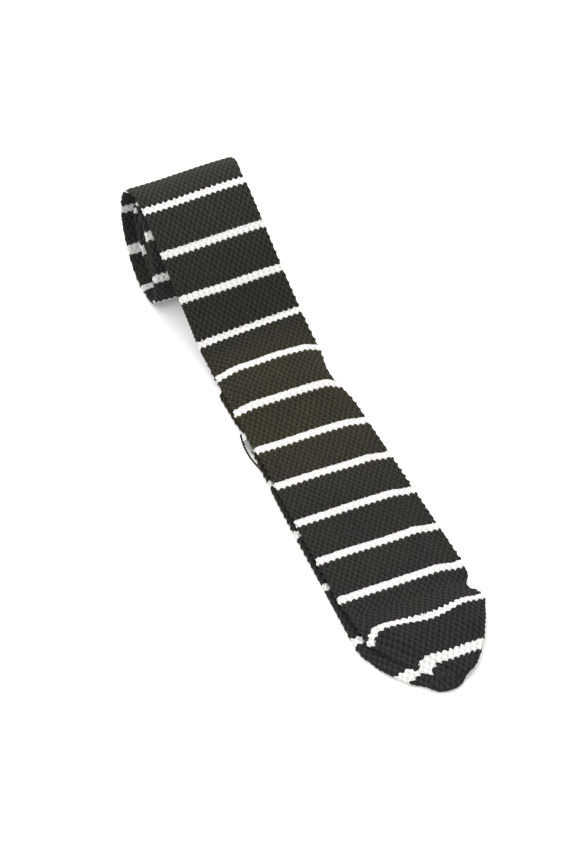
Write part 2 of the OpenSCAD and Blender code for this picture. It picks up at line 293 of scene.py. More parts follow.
def slump(p, w):
    """The loose roll leans: its foot slides forward and to the left, and its heart closes up."""
    k = smooth((w - RAMP_LEN - 4) / 14.0)
    y, z = p[..., 1], p[..., 2] - AXIS_Z
    rho = np.hypot(y, z) + 1e-6
    tilt = math.radians(LEAN_DEG)
    a = y * math.cos(tilt) + z * math.sin(tilt)
    b = z * math.cos(tilt) - y * math.sin(tilt)
    core = k * (1 - smooth((rho - 4.5) / 12.5))
    a2 = a * (1 - 2.9 * core / np.maximum(rho, 3.6))
    b2 = b * (1 + 1.3 * core / np.maximum(rho, 3.6))
    y = a2 * math.cos(tilt) - b2 * math.sin(tilt)
    z = a2 * math.sin(tilt) + b2 * math.cos(tilt) + AXIS_Z
    low = np.clip(1 - z / (2 * CREST_R - 3.3), 0, 1)
    left = np.clip((-6 - p[..., 0]) / 24.0, 0, 1)
    wob = k * left * smooth((20 - rho) / 12.0)
    phi = np.arctan2(b, a)
    y = y - k * FOOT_FORWARD * low ** 1.5 + wob * 0.9 * np.sin(3 * phi + rho * 0.4)
    z = z + wob * 0.7 * np.cos(2 * phi + 1)
    x = p[..., 0] - k * FOOT_SIDE * low
    return np.stack([x, y, z], -1)


def surface(x, w, mid, lift):
    """A point of the cloth's face. The roll stands taller at its right end and at its back."""
    p = base(x, w, mid)
    p[..., 2] += lift(x, w)
    p = slump(p, w)
    right = smooth((p[..., 0] + 26) / 46.0) * smooth((w - 20) / 50.0)
    behind = smooth((p[..., 1] + 8) / 13.0) * smooth((w - 20) / 50.0)
    p[..., 2] += (RIGHT_RISE * right + BACK_RISE * behind) * np.clip(p[..., 2] / ROLL_TALL, 0, 1.1)
    return p


def placed(q, w, mid, lift, off):
    """Points at lateral place q and height off above the layer's middle, with its normal and side."""
    e = 0.4
    px = surface(q + e, w, mid, lift) - surface(q - e, w, mid, lift)
    pw = surface(q, w + e, mid, lift) - surface(q, w - e, mid, lift)
    n = np.cross(px, pw)
    n /= np.linalg.norm(n, axis=-1, keepdims=True)
    side = px / np.linalg.norm(px, axis=-1, keepdims=True)
    return surface(q, w, mid, lift) + n * (off - mid)[..., None], n, side


# ---------------------------------------------------------------- knitted tubes
def knit_height(xi, w):
    """How far the stitches stand out of the cloth."""
    c = 0.5 + 0.5 * np.cos(2 * math.pi * xi) * np.cos(2 * math.pi * w / COURSE)
    return KNIT * (c ** 1.15 - 0.42)


def tooth(xi, kind, w):
    """How far a stripe's edge steps along the tie from stitch to stitch, in step with the stitch rows."""
    row = math.floor(w / (COURSE / 2))
    xi = xi - 0.5 * (row % 2)
    c = np.abs(np.cos(math.pi * xi))
    cell = np.floor(xi + 0.5)
    uneven = 1 + 0.3 * np.sin(cell * 12.9898 + row * 4.1) * np.cos(cell * 3.7 + row)
    if kind == "front":
        return 1.25 * uneven * (c ** 0.8 - 0.66)
    if kind == "rear":
        cell = np.floor(xi)
        uneven = 1 + 0.35 * np.sin(cell * 9.73 + row * 2.3)
        return 0.95 * uneven * (0.3 - c)
    return 0.0 * xi


def edge_list(stripes, w0, w1):
    """Band edges from w0 to w1 as (w, kind), and whether each band between them is white."""
    kinds = {round(s - STRIPE / 2, 3): "front" for s in stripes}
    kinds.update({round(s + STRIPE / 2, 3): "rear" for s in stripes})
    sides = ((-STRIPE / 2, "front"), (STRIPE / 2, "rear"))
    inside = [(s + side, kind) for s in sorted(stripes) for side, kind in sides]
    out = [(w0, kinds.get(round(w0, 3), "cut"))]
    out += [(w, kind) for w, kind in inside if w0 + 0.01 < w < w1 - 0.01]
    out.append((w1, kinds.get(round(w1, 3), "cut")))
    white = [any(abs((a[0] + b[0]) / 2 - s) < STRIPE / 2 for s in stripes) for a, b in zip(out, out[1:])]
    return out, white


def columns(top_step, back_step, width):
    """Places round the tube: (share across, sin, cos) for the top, right edge, back and left edge."""
    n_top, n_back, n_edge = round(width / top_step), round(width / back_step), 7
    cols = [(i / n_top, 0.0, 1.0) for i in range(n_top)]
    cols += [(1.0, math.sin(math.pi * i / n_edge), math.cos(math.pi * i / n_edge)) for i in range(n_edge)]
    cols += [(1 - i / n_back, 0.0, -1.0) for i in range(n_back)]
    cols += [(0.0, -math.sin(math.pi * i / n_edge), -math.cos(math.pi * i / n_edge)) for i in range(n_edge)]
    return np.array(cols)


# Which way each kind of edge moves when a white stripe is drawn in
STEP_SIGN = {"front": 1, "rear": -1, "cut": 0}
# Spacing of the columns round a tube, on its seen and hidden faces, and of those that the roll hides
FACE_STEP = 0.34
BACK_STEP = 0.54
HIDDEN_STEP = 0.675
# The length in which a tube's end rounds off at a point
ROUND_OFF = 1.6


def tube(stripes, w0, w1, edges, mid, lift, top_step=FACE_STEP, back_step=BACK_STEP, tip=None, bend=None,
         row=ROW, shrink=None):
    """Closed knitted bands from w0 to w1, each as (points, xi, w, whether it is white)."""
    marks, white = edge_list(stripes, w0, w1)
    cols = columns(top_step, back_step, BLADE_WIDTH)
    share, sn, cs = cols[:, 0], cols[:, 1], cols[:, 2]
    arc = np.arctan2(np.abs(sn), cs)
    bands = []

    def ring(w):
        """Place across, half thickness and stitch phase of the columns at w."""
        left, right = edges(w)
        near = 1.0
        if tip is not None:
            near = np.sqrt(np.clip(1 - (1 - np.clip((w - tip) / ROUND_OFF, 0, 1)) ** 2, 0.0004, 1))
        b = np.minimum(BODY_T * near, (right - left) / 2 * 0.8)
        q = left + b + share * (right - left - 2 * b)
        x_mid = (left + right) / 2
        xi = (q - x_mid) / WALE
        around = np.where(cs > 0.999, 0.0, arc * (b + 0.2)) / WALE
        on_back = (cs < 0) & (sn == 0)
        xi = np.where((sn > 0) | on_back, xi * np.where(sn == 0, -1, 1) + around, xi - around)
        return q, b, xi

    for (wa, ka), (wb, kb), is_white in zip(marks, marks[1:], white):
        _, _, xa = ring(np.full(len(cols), wa))
        _, _, xb = ring(np.full(len(cols), wb))
        ea, eb = wa + tooth(xa, ka, wa), wb + tooth(xb, kb, wb)
        if shrink is not None:
            pull = STRIPE / 2 * (1 - shrink(np.array([wa, wb])))
            ea = ea + pull[0] * STEP_SIGN[ka]
            eb = eb + pull[1] * STEP_SIGN[kb]
        n = max(2, round((wb - wa) / row))
        t = np.linspace(0, 1, n + 1)[:, None]
        if tip is not None and wa <= tip + 0.01:
            t = t ** 1.25
        w = ea + (eb - ea) * t
        q, b, xi = ring(w)
        if bend is not None:
            w = w + bend(q, w)
        scallop = 1.5 if w.max() < 60 else 0.9
        high = knit_height(xi, w) * (1 + scallop * sn * sn)
        if tip is not None:
            high = high * smooth((w - tip) / 2.0)
        p, nrm, side = placed(q, w, mid, lift, b * cs)
        p = p + side * (b * sn)[..., None]
        p = p + (nrm * cs[:, None] + side * sn[:, None]) * high[..., None]
        bands.append((p, xi, w, is_white))
    return bands


def mesh_object(name, grids):
    """One mesh from closed rings: each grid is rows x columns of points in mm, capped at both ends."""
    co, uv, loops, totals = [], [], [], []
    start = 0
    for p, xi, w in grids:
        r, c = p.shape[:2]
        idx = start + np.arange(r * c).reshape(r, c)
        nxt = np.roll(idx, -1, axis=1)
        quads = np.stack([idx[:-1], nxt[:-1], nxt[1:], idx[1:]], -1).reshape(-1, 4)
        low, high = idx[0][::-1], idx[-1]
        loops += [quads.ravel(), low, high]
        totals += [np.full(len(quads), 4), [c], [c]]
        co.append(p.reshape(-1, 3) * MM)
        uv.append(np.stack([xi, w], -1).reshape(-1, 2))
        start += r * c
    co, uv, loops = np.concatenate(co), np.concatenate(uv), np.concatenate(loops)
    totals = np.concatenate(totals)
    me = bpy.data.meshes.new(name)
    me.vertices.add(len(co))
    me.vertices.foreach_set("co", co.astype(np.float32).ravel())
    me.loops.add(len(loops))
    me.loops.foreach_set("vertex_index", loops.astype(np.int32))
    me.polygons.add(len(totals))
    me.polygons.foreach_set("loop_start", np.concatenate([[0], np.cumsum(totals)[:-1]]).astype(np.int32))
    me.polygons.foreach_set("loop_total", totals.astype(np.int32))
    me.polygons.foreach_set("use_smooth", np.ones(len(totals), bool))
    layer = me.uv_layers.new(name="knit")
    layer.data.foreach_set("uv", uv[loops].astype(np.float32).ravel())
    me.update(calc_edges=True)
    me.validate()
    ob = bpy.data.objects.new(name, me)
    bpy.context.scene.collection.objects.link(ob)
    return ob


def cloth(name, bands, white):
    """The white or the black bands, as one piece."""
    grids = [(p, xi, w) for p, xi, w, is_white in bands if is_white == white]
    ob = mesh_object(name, grids)
    ob.data.materials.append(WHITE_KNIT if white else BLACK_KNIT)
    return ob


# ---------------------------------------------------------------- materials
class Nodes:
    """A material's node tree, with short ways to add and join nodes."""

    def __init__(self, name):
        self.mat = bpy.data.materials.new(name)
        self.mat.use_nodes = True
        self.tree = self.mat.node_tree
        self.bsdf = self.tree.nodes["Principled BSDF"]

    def add(self, kind, **values):
        node = self.tree.nodes.new(kind)
        for key, value in values.items():
            if key[0].isupper():
                node.inputs[key.replace("_", " ")].default_value = value
            else:
                setattr(node, key, value)
        return node

    def link(self, a, out, b, into):
        self.tree.links.new(a.outputs[out], b.inputs[into])

    def math(self, operation, a, b=None, clamp=False):
        node = self.add("ShaderNodeMath", operation=operation, use_clamp=clamp)
        for i, x in enumerate([a, b]):
            if isinstance(x, tuple):
                self.tree.links.new(x[0].outputs[x[1]], node.inputs[i])
            elif x is not None:
                node.inputs[i].default_value = x
        return (node, 0)

    def product(self, a, b):
        mix = self.add("ShaderNodeMix", data_type="RGBA", blend_type="MULTIPLY")
        mix.inputs["Factor"].default_value = 1.0
        for node, i in ((a, 6), (b, 7)):
            self.tree.links.new(node.outputs[2 if node.type == "MIX" else "Color"], mix.inputs[i])
        return mix

    def noise(self, scale, detail=2.0, rough=0.6):
        pos = self.add("ShaderNodeTexCoord")
        node = self.add("ShaderNodeTexNoise", Scale=scale, Detail=detail, Roughness=rough)
        self.link(pos, "Object", node, "Vector")
        return node

    def ramp(self, source, out, stops):
        node = self.add("ShaderNodeValToRGB")
        r = node.color_ramp
        while len(r.elements) < len(stops):
            r.elements.new(0.5)
        for e, (at, colour) in zip(r.elements, stops):
            e.position = at
            e.color = (*colour, 1)
        self.link(source, out, node, "Fac")
        return node

    def bump(self, pairs, strength, distance):
        node = self.add("ShaderNodeBump", Strength=strength, Distance=distance)
        total = None
        for source, out, weight in pairs:
            part = self.math("MULTIPLY", (source, out), weight)
            total = part if total is None else self.math("ADD", total, part)
        self.tree.links.new(total[0].outputs[0], node.inputs["Height"])
        self.link(node, "Normal", self.bsdf, "Normal")
        return node


# The tint's ramp starts this far before the foot, and is this long
TINT_START = 215
TINT_RUN = 330


def knit_material(name, gap, crown, tint, rough, sheen, along_tie):
    """Yarn with painted shade between the stitches and a painted highlight on their crowns, its tone
    changing from the point to the roll.
    """
    m = Nodes(name)
    uv = m.add("ShaderNodeUVMap", uv_map="knit")
    xyz = m.add("ShaderNodeSeparateXYZ")
    m.link(uv, "UV", xyz, "Vector")
    cx = m.math("COSINE", m.math("MULTIPLY", (xyz, "X"), 2 * math.pi))
    cy = m.math("COSINE", m.math("MULTIPLY", (xyz, "Y"), 2 * math.pi / COURSE))
    both = m.math("MULTIPLY", cx, cy)
    fac = m.math("ADD", m.math("MULTIPLY", both, 0.5), 0.5, clamp=True)
    fibre = m.noise(5200.0, 3.0, 0.7)
    patch = m.noise(60.0, 2.0, 0.5)
    each = m.add("ShaderNodeTexNoise", Scale=0.9, Detail=1.0)
    m.link(uv, "UV", each, "Vector")
    strand = m.add("ShaderNodeTexWave", bands_direction="DIAGONAL", Scale=1.9, Distortion=1.6, Detail=1.0)
    m.link(uv, "UV", strand, "Vector")
    grain = m.math("ADD", m.math("MULTIPLY", (fibre, "Fac"), 0.32), m.math("MULTIPLY", (each, "Fac"), 0.42))
    mixed = m.math("ADD", m.math("MULTIPLY", fac, 0.58), m.math("ADD", grain, -0.14), clamp=True)
    # Painted shade and highlight: the colour runs from the gap colour, dark between the stitches, to the
    # crown colour, lighter on them.
    colour = m.ramp(mixed[0], 0, [(0.12, gap), (0.85, crown)])
    tone = m.ramp(patch, "Fac", [(0.35, (1, 1, 1)), (0.7, tint)])
    # Tone along the tie; its darker stretch up the ramp is painted shade.
    run = m.math("ADD", m.math("MULTIPLY", (xyz, "Y"), 1 / TINT_RUN), TINT_START / TINT_RUN, clamp=True)
    run_tone = m.ramp(run[0], 0, along_tie)
    both_tones = m.product(tone, run_tone)
    final = m.product(colour, both_tones)
    m.tree.links.new(final.outputs[2], m.bsdf.inputs["Base Color"])
    rgh = m.math("ADD", m.math("MULTIPLY", (fibre, "Fac"), 0.12), rough)
    m.tree.links.new(rgh[0].outputs[0], m.bsdf.inputs["Roughness"])
    m.bsdf.inputs["Specular IOR Level"].default_value = 0.12
    m.bsdf.inputs["Sheen Weight"].default_value = sheen
    m.bsdf.inputs["Sheen Roughness"].default_value = 0.45
    m.bump([(fibre, "Fac", 0.6), (strand, "Fac", 0.5)], 0.55, 0.00012)
    return m.mat


def thread_material(name, colour):
    """Twisted sewing thread, with painted shade in the grooves of its twist."""
    m = Nodes(name)
    fibre = m.noise(6000.0, 2.0)
    twist = m.add("ShaderNodeTexWave", bands_direction="DIAGONAL", Scale=900.0, Distortion=0.6, Detail=1.0)
    pos = m.add("ShaderNodeTexCoord")
    m.link(pos, "Object", twist, "Vector")
    # Painted shade: the twist's grooves are darker than its ridges.
    dark = tuple(c * 0.6 for c in colour)
    ramp = m.ramp(twist, "Fac", [(0.2, dark), (0.8, colour)])
    m.link(ramp, "Color", m.bsdf, "Base Color")
    m.bsdf.inputs["Roughness"].default_value = 0.7
    m.bsdf.inputs["Specular IOR Level"].default_value = 0.2
    m.bump([(twist, "Fac", 0.7), (fibre, "Fac", 0.3)], 0.5, 0.0001)
    return m.mat


def label_material(name, colour, dark):
    """Fine plain weave, with painted shade between its threads and a randomly uneven tone."""
    m = Nodes(name)
    pos = m.add("ShaderNodeTexCoord")
    weave = [m.add("ShaderNodeTexWave", bands_direction=direction, Scale=scale, Distortion=0.4)
             for direction, scale in (("X", 640), ("Y", 520))]
    for wv in weave:
        m.link(pos, "Object", wv, "Vector")
    # Painted shade: darker between the weave's crossing threads.
    cross = m.math("MULTIPLY", (weave[0], "Fac"), (weave[1], "Fac"))
    soil = m.noise(140.0, 3.0)
    tone = m.math("ADD", m.math("MULTIPLY", cross, 0.5), m.math("MULTIPLY", (soil, "Fac"), 0.6), clamp=True)
    ramp = m.ramp(tone[0], 0, [(0.1, dark), (0.8, colour)])
    m.link(ramp, "Color", m.bsdf, "Base Color")
    m.bsdf.inputs["Roughness"].default_value = 0.42
    m.bsdf.inputs["Sheen Weight"].default_value = 0.2
    m.bump([(cross[0], 0, 1.0)], 0.4, 0.00006)
    return m.mat


# Tone along the tie from the point to the roll: the black is darker at the point and the front, lighter and
# yellower on the flat run before the ramp, darker again up the ramp, where it is painted shade for a face
# turned from the light, and full on the roll. The white barely changes.
BLACK_TINTS = [
    (0.02, (0.74, 0.73, 0.78)), (0.34, (0.71, 0.69, 0.67)), (0.48, (1.0, 0.965, 0.64)),
    (0.60, (1.0, 0.965, 0.64)), (0.73, (0.63, 0.63, 0.59)), (0.93, (1.0, 1.0, 1.0)),
]
WHITE_TINTS = [(0.0, (1, 1, 1)), (1.0, (0.98, 0.98, 0.98))]
BLACK_KNIT = knit_material("black_knit_yarn", (0.0040, 0.0037, 0.0032), (0.042, 0.0396, 0.034),
                           (0.86, 0.88, 0.94), 0.78, 0.02, BLACK_TINTS)
WHITE_KNIT = knit_material("white_knit_yarn", (0.46, 0.46, 0.448), (0.78, 0.782, 0.765),
                           (0.96, 0.96, 0.95), 0.80, 0.08, WHITE_TINTS)
THREAD = thread_material("black_sewing_thread", (0.010, 0.0095, 0.009))
LABEL = label_material("woven_label", (0.80, 0.80, 0.78), (0.58, 0.58, 0.57))
# The care tab is white satin; its dark grey is painted shade, for the shade it lies in under the blade's
# edge.
SHADED_CARE_TAB = label_material("satin_care_tab_painted_shade", (0.27, 0.27, 0.27), (0.15, 0.15, 0.155))


# ---------------------------------------------------------------- the tie's zones
def at(w, z=STACK):
    """A point on the middle line in metres."""
    if w <= 0:
        return (0.0, (FOOT_Y + w) * MM, z * MM)
    return (0.0, (FOOT_Y + w * RAMP_COS) * MM, (z + w * RAMP_SIN) * MM)


def tip_bend(x, w):
    """The blade's last two stripes bow in their middles and turn down at their left ends."""
    v = -w
    left = blade_left(-w)
    near = np.clip((x - left) / 4.6, 0, 1)
    hook = -5.6 * (1 - near) ** 1.5 * hill(v, 160, 172, 196, 206)
    bow = -2.9 * np.exp(-((x - 3) / 13.0) ** 2) * hill(v, 158, 174, 176, 192)
    end = -1.3 * np.exp(-((x - 3) / 9.0) ** 2) * hill(v, 184, 194, 197, 206)
    return hook + bow + end


blade_stripes = [-v for v in BLADE_V] + BLADE_U
tail_stripes = [-v for v in TAIL_V] + TAIL_U
half = STRIPE / 2

# Where the zones end, each at the edge of a stripe
SPLIT_FOOT = -(BLADE_V[0] + half)
SPLIT_FRONT = -(BLADE_V[4] - half)
SPLIT_ROLL = BLADE_U[3] - half
SPLIT_INNER = BLADE_U[9] + half
BLADE_END = BLADE_U[18] + half
T_FOOT = -(TAIL_V[0] + half)
T_POINT = -(TAIL_V[5] - half)
T_ROLL = TAIL_U[2] - half
T_INNER = TAIL_U[5] + half
TAIL_END = TAIL_U[8] + half


def tail_bend(x, w):
    """The tail's last stripe climbs a little to the right, towards the end of the blade's."""
    return 1.6 * smooth((x + 20) / 10.0) * hill(-w, 181, 193, 203, 210)


def tail_scale(w):
    """The tail's last stripe is the widest."""
    return np.where(w < -185, 1.42, 1.0)


def blade_zone(w0, w1, **more):
    """Bands of the blade from w0 to w1."""
    return tube(blade_stripes, w0, w1, blade_edges, BLADE_MID, blade_lift_field, shrink=stripe_scale,
                **more)


def tail_zone(w0, w1, **more):
    """Bands of the tail from w0 to w1."""
    return tube(tail_stripes, w0, w1, tail_edges, TAIL_MID, tail_lift_field, **more)


def both_colours(name, bands, nodes, body=None, bend_by=None):
    """The black and white pieces of a zone, riding one body, or left where they stand on no body when
    bend_by is given.
    """
    black, white = cloth(name + "_black", bands, False), cloth(name + "_white", bands, True)
    for ob, node in ((black, nodes[0]), (white, nodes[1])):
        if node:
            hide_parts(*node)
        if bend_by is not None:
            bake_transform(ob)
        else:
            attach(ob, body)


point_bands = blade_zone(-BLADE_LEN, SPLIT_FRONT, tip=-BLADE_LEN, bend=tip_bend)
both_colours("blade_point_knit", point_bands, (["blade_point_black"], ["blade_point_white"]),
             bend_by=("blade", "blade_point", at(-160), at(-184)))
front_bands = blade_zone(SPLIT_FRONT, SPLIT_FOOT)
both_colours("blade_front_knit", front_bands, (["blade_front_black"], ["blade_front_white"]),
             bend_by=("tail", "blade", at(-14.5), at(-31)))
ramp_bands = blade_zone(SPLIT_FOOT, SPLIT_ROLL)
both_colours("blade_ramp_knit", ramp_bands, (["blade_foot_black"], ["blade_foot_white"]),
             bend_by=("roll", "tail", at(22), at(-11)))
roll_bands = blade_zone(SPLIT_ROLL, SPLIT_INNER, back_step=2 * HIDDEN_STEP)
both_colours("blade_roll_knit", roll_bands, (["roll_blade_outer_black"], ["roll_blade_outer_white"]),
             body="roll")
inner_bands = blade_zone(SPLIT_INNER, BLADE_END, back_step=2 * HIDDEN_STEP, row=0.43)
both_colours("blade_core_knit", inner_bands, (["roll_blade_inner_black"], ["roll_blade_inner_white"]),
             body="roll")

t_point = tail_zone(-TAIL_LEN, T_POINT, top_step=0.42, tip=-TAIL_LEN, bend=tail_bend, shrink=tail_scale)
both_colours("tail_point_knit", t_point, (["tail_point_black"], ["tail_point_white"]),
             body="tail")
t_front = tail_zone(T_POINT, T_FOOT, top_step=0.48, back_step=HIDDEN_STEP, row=0.42)
both_colours("tail_front_knit", t_front, (["tail_front_black"], ["tail_front_white"]),
             body="tail")
t_ramp = tail_zone(T_FOOT, T_ROLL, top_step=BACK_STEP, back_step=HIDDEN_STEP)
both_colours("tail_ramp_knit", t_ramp, ([], []),
             bend_by=("roll", "tail", at(22), at(-11)))
t_roll = tail_zone(T_ROLL, T_INNER, top_step=HIDDEN_STEP, back_step=HIDDEN_STEP)
both_colours("tail_roll_knit", t_roll, (["roll_tail_outer_black"], ["roll_tail_outer_white"]),
             body="roll")
t_core = tail_zone(T_INNER, TAIL_END, top_step=HIDDEN_STEP, back_step=HIDDEN_STEP)
both_colours("tail_core_knit", t_core, (["roll_tail_inner_black"], ["roll_tail_inner_white"]),
             body="roll")


# ---------------------------------------------------------------- the neck band
# Any path length well inside the roll
DEEP_W = 300.0


def neck():
    """The plain middle of the tie: from the blade's last stripe round the fold and back to the tail's."""
    swept = TURNS_DEG + RAMP_DEG
    end_b, end_t = (RAMP_LEN + math.pi / 180 * ((TANGENT_R - mid) * swept - TURN / 720 * swept ** 2)
                    for mid in (BLADE_MID, TAIL_MID))

    def side_line(w, mid):
        """The spiral in (y, z), down the middle of the layer at depth mid."""
        a = arc_sweep(w - RAMP_LEN, TANGENT_R - mid) - RAMP_DEG
        r = CREST_R - TURN * a / 360 - mid
        rad = np.radians(a)
        turn = np.maximum(0, np.floor(a / 360))
        return np.stack([r * np.sin(rad), np.maximum(AXIS_Z + r * np.cos(rad), mid + turn * TURN)], -1)

    out = side_line(np.arange(BLADE_END, end_b, 0.42), BLADE_MID)
    back = side_line(np.arange(TAIL_END, end_t, 0.42), TAIL_MID)[::-1]
    c = (out[-1] + back[0]) / 2
    rad = np.linalg.norm(out[-1] - back[0]) / 2
    u = (out[-1] - c) / rad
    f = out[-1] - out[-2]
    f = f - (f @ u) * u
    f /= np.linalg.norm(f)
    fold = [c + rad * (math.cos(t) * u + math.sin(t) * f) for t in np.linspace(0, math.pi, 14)[1:-1]]
    line = np.concatenate([out, fold, back])
    tang = np.gradient(line, axis=0)
    tang /= np.linalg.norm(tang, axis=1, keepdims=True)
    s = np.concatenate([[0], np.cumsum(np.linalg.norm(np.diff(line, axis=0), axis=1))])
    cols = columns(HIDDEN_STEP, HIDDEN_STEP, NECK_WIDTH)
    share, sn, cs = cols.T
    b = 0.82
    lo, hi = -20.6 - ROLL_LEAD, 21.4 - ROLL_LEAD
    q = lo + b + share * (hi - lo - 2 * b)
    xi = (q - (lo + hi) / 2) / WALE
    w = np.repeat(s[:, None], len(cols), 1)
    high = knit_height(xi, w) * 0.8
    off = b * cs + high * cs
    centre = np.zeros((len(line), len(cols), 3))
    centre[..., 0] = q + (b + high) * sn
    centre[..., 1:] = line[:, None, :]
    deep = np.full(centre.shape[:2], DEEP_W)
    p = slump(centre, deep)
    ahead = slump(centre + np.pad(tang[:, None, :] * 0.2, ((0, 0), (0, 0), (1, 0))), deep) - p
    turned = np.stack([0 * p[..., 0], -ahead[..., 2], ahead[..., 1]], -1)
    turned /= np.linalg.norm(turned, axis=-1, keepdims=True)
    p = p + turned * off[..., None]
    return mesh_object("neck_band_knit", [(p, np.repeat(xi[None], len(line), 0), w)]), s[-1]


neck_piece, neck_len = neck()
neck_piece.data.materials.append(BLACK_KNIT)
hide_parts("neck_band")
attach(neck_piece, "roll")


# ---------------------------------------------------------------- sewing, labels and the keeper loop
def islands(node):
    """The separate solids of a CAD node, as (lowest corner, highest corner) in mm."""
    me = frame["nodes"][node].data
    co = np.array([v.co for v in me.vertices], float).reshape(-1, 3) / MM
    keys, parent = {}, list(range(len(co)))

    def root(i):
        while parent[i] != i:
            parent[i] = parent[parent[i]]
            i = parent[i]
        return i

    for i, p in enumerate(co):
        k = tuple(np.round(p, 3))
        parent[root(i)] = root(keys.setdefault(k, i))
    for e in me.edges:
        parent[root(e.vertices[0])] = root(e.vertices[1])
    groups = {}
    for i in range(len(co)):
        groups.setdefault(root(i), []).append(co[i])
    return [(np.min(g, 0), np.max(g, 0)) for g in groups.values()]


def sweep(line, radius, sides=10, squash=1.0, up=(0, 0, 1)):
    """A round rod along points, as one grid of rings."""
    line = np.array(line, float)
    tang = np.gradient(line, axis=0)
    tang /= np.linalg.norm(tang, axis=1, keepdims=True)
    a = np.cross(tang, np.array(up, float))
    a /= np.linalg.norm(a, axis=1, keepdims=True)
    b = np.cross(a, tang)
    t = np.linspace(0, 2 * math.pi, sides, endpoint=False)
    r = np.broadcast_to(radius, (len(line),))[:, None, None]
    p = line[:, None] + r * (a[:, None] * np.cos(t)[:, None] + squash * b[:, None] * np.sin(t)[:, None])
    z = np.zeros(p.shape[:2])
    return p, z, z


def capsule(lo, hi, lift, sag=0.0):
    """One stitch: a short rounded rod that dives at both ends."""
    size = hi - lo
    k = 0 if size[0] > size[1] else 1
    s = np.linspace(0, 1, 13)
    line = np.tile((lo + hi) / 2, (13, 1))
    line[:, k] = lo[k] + 0.1 + s * (size[k] - 0.2)
    line[:, 2] += -sag * (2 * s - 1) ** 4 + lift(line[:, 0], line[:, 1] - FOOT_Y)
    r = min(size[1 - k], 0.7) / 2 * np.sqrt(np.clip(1 - (2 * s - 1) ** 4, 0.05, 1))
    return sweep(line, r, squash=0.62)


def thread_piece(name, grids, node, body):
    """Black thread that stands for a CAD node."""
    ob = mesh_object(name, grids)
    ob.data.materials.append(THREAD)
    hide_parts(node)
    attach(ob, body)


def sewing(name, node, body, lift, sag):
    """One stitch for each solid of the CAD node."""
    thread_piece(name, [capsule(lo, hi, lift, sag) for lo, hi in islands(node)], node, body)


def no_lift(x, w):
    """For stitches on cloth that lies flat."""
    return 0.0 * x


sewing("blade_seam_thread", "blade_back_seam", "blade", blade_lift_field, -0.15)
sewing("tail_seam_thread", "tail_back_seam", "tail", no_lift, 0.15)
sewing("blade_tack_thread", "blade_point_tack", "blade_point", blade_lift_field, -0.15)
sewing("tail_tack_thread", "tail_point_tack", "tail", no_lift, 0.15)
sewing("label_tack_thread", "label_stitches", "blade", blade_lift_field, -0.05)
sewing("keeper_tack_thread", "keeper_tacks", "blade", blade_lift_field, -0.1)


# How far a label that slants is moved towards the roll, per unit of slant
SLANT_SHIFT = 15


def slip(name, node, material, curl, slant=0.0):
    """A thin label on the blade: a gridded slab with a slight curl and a folded hem line."""
    lo, hi = (np.array(c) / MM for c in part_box(node))
    nx, ny = max(8, round((hi[0] - lo[0]) / 0.5)), max(8, round((hi[1] - lo[1]) / 0.5))
    x = np.linspace(lo[0] + 0.1, hi[0] - 0.1, nx)
    y = np.linspace(lo[1] + 0.1, hi[1] - 0.1, ny)
    gx, gy = np.meshgrid(x, y)
    gx, gy = gx + slant * (hi[1] - gy), gy + SLANT_SHIFT * slant
    mid_z = (lo[2] + hi[2]) / 2 + blade_lift_field(gx, gy - FOOT_Y) + curl(gx, gy, lo)
    t = (hi[2] - lo[2]) / 2 * 0.7
    hem = 0.06 * (np.abs(gy - (lo[1] + hi[1]) / 2) > (hi[1] - lo[1]) / 2 - 1.6)
    top = np.stack([gx, gy, mid_z + t], -1)
    low = np.stack([gx, gy, mid_z - t - hem], -1)
    p = np.concatenate([top, low[:, ::-1]], axis=1)
    z = np.zeros(p.shape[:2])
    ob = mesh_object(name, [(p, z, z)])
    ob.data.materials.append(material)
    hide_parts(node)
    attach(ob, "blade")


def label_curl(x, y, lo):
    """The label's slight wave."""
    return 0.05 * np.sin(x / 3.0)


def tab_curl(x, y, lo):
    """The tab's free end droops and ripples."""
    droop = -0.35 * smooth((lo[0] + 3 - x) / 3.0)
    return droop + 0.12 * np.sin(y / 1.4) * smooth((lo[0] + 4 - x) / 4)


slip("woven_label", "plain_label", LABEL, label_curl)
# The care tab's grey colour is painted shade.
slip("care_tab", "care_label", SHADED_CARE_TAB, tab_curl, slant=0.22)


def keeper():
    """The thread loop: two twisted strands on an arc a little flatter than the CAD loop's."""
    lo, hi = (np.array(c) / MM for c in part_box("keeper_loop"))
    r = 0.4
    strand_r, strand_off = 0.3, 0.2
    x_in, x_out = hi[0] - r - 0.2, lo[0] + r + 0.35
    half_span = (hi[1] - lo[1]) / 2 - r * 0.9
    y_mid, bulge = (lo[1] + hi[1]) / 2, x_in - x_out
    big = (half_span ** 2 + bulge ** 2) / (2 * bulge)
    reach = math.asin(half_span / big)
    steps = 121
    t = np.linspace(-reach, reach, steps)
    z_mid = np.full(steps, (lo[2] + hi[2]) / 2)
    line = np.stack([x_out + big - big * np.cos(t), y_mid + big * np.sin(t), z_mid], -1)
    across = np.stack([-np.cos(t), np.sin(t), 0 * t], -1)
    upward = np.array([0, 0, 1.0])
    grids = []
    for k in (0, 1):
        turn = np.arange(steps) * 0.36 + math.pi * k
        strand = line + strand_off * (across * np.cos(turn)[:, None] + upward * np.sin(turn)[:, None])
        grids.append(sweep(strand, strand_r))
    thread_piece("keeper_thread_loop", grids, "keeper_loop", "keeper")


keeper()


